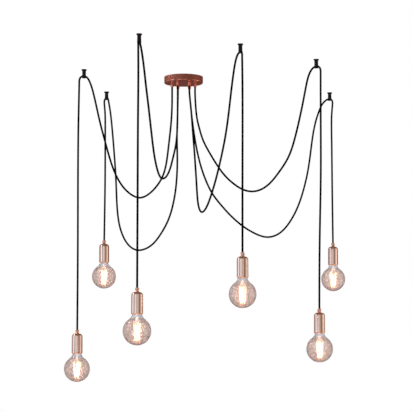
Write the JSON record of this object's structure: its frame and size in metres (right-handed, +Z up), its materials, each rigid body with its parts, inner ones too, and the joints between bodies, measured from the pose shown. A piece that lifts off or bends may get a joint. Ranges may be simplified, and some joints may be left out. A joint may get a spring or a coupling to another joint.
{
  "type": "swag pendant light",
  "caption": "Ceiling pendant light: a round copper rose feeds black fabric cables that swag to ceiling hooks and drop to copper lampholders with clear globe filament bulbs.",
  "frame": {"origin": "centre of the rose on the ceiling plane, at the top face of its mounting bracket", "axes": "+Z up, into the ceiling; +X to the right and +Y away from the viewer in the picture"},
  "size_m": [1.0761, 1.2485, 1.1673],
  "materials": {
    "copper": "polished copper plating",
    "rose_copper": "satin dark copper plating",
    "black_nylon": "satin black",
    "black_fabric": "braided black textile",
    "smoked_glass": "clear blown glass",
    "nickel_cap": "nickel plated",
    "black_insert": "moulded black",
    "zinc_steel": "zinc plated",
    "brass_screw": "plain brass",
    "white_nylon": "moulded white"
  },
  "bodies": {
    "rose": {"rose_cover": "rose_copper", "mounting_bracket": "zinc_steel", "side_screw_left": "zinc_steel", "side_screw_right": "zinc_steel", "earth_screw": "brass_screw", "terminal_block": "white_nylon", "rose_cord_grip_1": "copper", "ceiling_hook_1": "black_nylon", "swag_cord_1": "black_fabric", "rose_cord_grip_2": "copper", "ceiling_hook_2": "black_nylon", "swag_cord_2": "black_fabric", "rose_cord_grip_3": "copper", "ceiling_hook_3": "black_nylon", "swag_cord_3": "black_fabric", "rose_cord_grip_4": "copper", "ceiling_hook_4": "black_nylon", "swag_cord_4": "black_fabric", "rose_cord_grip_5": "copper", "ceiling_hook_5": "black_nylon", "swag_cord_5": "black_fabric", "rose_cord_grip_6": "copper", "ceiling_hook_6": "black_nylon", "swag_cord_6": "black_fabric"},
    "drop_1": {"drop_cord_1": "black_fabric"},
    "holder_1": {"holder_cord_grip_1": "copper", "lampholder_cup_1": "copper", "lamp_insert_1": "black_insert"},
    "bulb_1": {"bulb_glass_1": "smoked_glass", "bulb_base_1": "nickel_cap"},
    "drop_2": {"drop_cord_2": "black_fabric"},
    "holder_2": {"holder_cord_grip_2": "copper", "lampholder_cup_2": "copper", "lamp_insert_2": "black_insert"},
    "bulb_2": {"bulb_glass_2": "smoked_glass", "bulb_base_2": "nickel_cap"},
    "drop_3": {"drop_cord_3": "black_fabric"},
    "holder_3": {"holder_cord_grip_3": "copper", "lampholder_cup_3": "copper", "lamp_insert_3": "black_insert"},
    "bulb_3": {"bulb_glass_3": "smoked_glass", "bulb_base_3": "nickel_cap"},
    "drop_4": {"drop_cord_4": "black_fabric"},
    "holder_4": {"holder_cord_grip_4": "copper", "lampholder_cup_4": "copper", "lamp_insert_4": "black_insert"},
    "bulb_4": {"bulb_glass_4": "smoked_glass", "bulb_base_4": "nickel_cap"},
    "drop_5": {"drop_cord_5": "black_fabric"},
    "holder_5": {"holder_cord_grip_5": "copper", "lampholder_cup_5": "copper", "lamp_insert_5": "black_insert"},
    "bulb_5": {"bulb_glass_5": "smoked_glass", "bulb_base_5": "nickel_cap"},
    "drop_6": {"drop_cord_6": "black_fabric"},
    "holder_6": {"holder_cord_grip_6": "copper", "lampholder_cup_6": "copper", "lamp_insert_6": "black_insert"},
    "bulb_6": {"bulb_glass_6": "smoked_glass", "bulb_base_6": "nickel_cap"}
  },
  "joints": [
    {"name": "drop_swing_1", "type": "hinge", "parent": "rose", "child": "drop_1", "pos_m": [-0.38879, -0.16104, -0.0445], "axis": [-0.906, -0.4232, 0], "range_deg": [-12, 12]},
    {"name": "holder_tilt_1", "type": "hinge", "parent": "drop_1", "child": "holder_1", "pos_m": [-0.38879, -0.16104, -0.9753], "axis": [0.4232, -0.906, 0], "range_deg": [-12, 12]},
    {"name": "bulb_unscrew_1", "type": "slide", "parent": "holder_1", "child": "bulb_1", "axis": [0, 0, -1], "range_m": [0, 0.026]},
    {"name": "drop_swing_2", "type": "hinge", "parent": "rose", "child": "drop_2", "pos_m": [-0.32289, 0.33129, -0.0388], "axis": [-0.7162, 0.6979, 0], "range_deg": [-12, 12]},
    {"name": "holder_tilt_2", "type": "hinge", "parent": "drop_2", "child": "holder_2", "pos_m": [-0.31948, 0.32798, -0.59903], "axis": [-0.6979, -0.7162, 0], "range_deg": [-12, 12]},
    {"name": "bulb_unscrew_2", "type": "slide", "parent": "holder_2", "child": "bulb_2", "axis": [0, 0, -1], "range_m": [0, 0.026]},
    {"name": "drop_swing_3", "type": "hinge", "parent": "rose", "child": "drop_3", "pos_m": [-0.14323, -0.8108, -0.04146], "axis": [-0.155, -0.9879, 0], "range_deg": [-12, 12]},
    {"name": "holder_tilt_3", "type": "hinge", "parent": "drop_3", "child": "holder_3", "pos_m": [-0.14338, -0.81174, -0.86402], "axis": [0.9879, -0.155, 0], "range_deg": [-12, 12]},
    {"name": "bulb_unscrew_3", "type": "slide", "parent": "holder_3", "child": "bulb_3", "axis": [0, 0, -1], "range_m": [0, 0.026]},
    {"name": "drop_swing_4", "type": "hinge", "parent": "rose", "child": "drop_4", "pos_m": [0.2116, -0.64524, -0.0445], "axis": [0.2981, -0.9545, 0], "range_deg": [-12, 12]},
    {"name": "holder_tilt_4", "type": "hinge", "parent": "drop_4", "child": "holder_4", "pos_m": [0.21132, -0.64433, -0.73108], "axis": [0.9545, 0.2981, 0], "range_deg": [-12, 12]},
    {"name": "bulb_unscrew_4", "type": "slide", "parent": "holder_4", "child": "bulb_4", "axis": [0, 0, -1], "range_m": [0, 0.026]},
    {"name": "drop_swing_5", "type": "hinge", "parent": "rose", "child": "drop_5", "pos_m": [0.50253, -0.36177, -0.0445], "axis": [0.7851, -0.6194, 0], "range_deg": [-12, 12]},
    {"name": "holder_tilt_5", "type": "hinge", "parent": "drop_5", "child": "holder_5", "pos_m": [0.49239, -0.35376, -0.90849], "axis": [0.6194, 0.7851, 0], "range_deg": [-12, 12]},
    {"name": "bulb_unscrew_5", "type": "slide", "parent": "holder_5", "child": "bulb_5", "axis": [0, 0, -1], "range_m": [0, 0.026]},
    {"name": "drop_swing_6", "type": "hinge", "parent": "rose", "child": "drop_6", "pos_m": [0.59573, 0.34633, -0.0388], "axis": [0.8809, 0.4733, 0], "range_deg": [-12, 12]},
    {"name": "holder_tilt_6", "type": "hinge", "parent": "drop_6", "child": "holder_6", "pos_m": [0.59288, 0.34481, -0.60829], "axis": [-0.4733, 0.8809, 0], "range_deg": [-12, 12]},
    {"name": "bulb_unscrew_6", "type": "slide", "parent": "holder_6", "child": "bulb_6", "axis": [0, 0, -1], "range_m": [0, 0.026]}
  ]
}
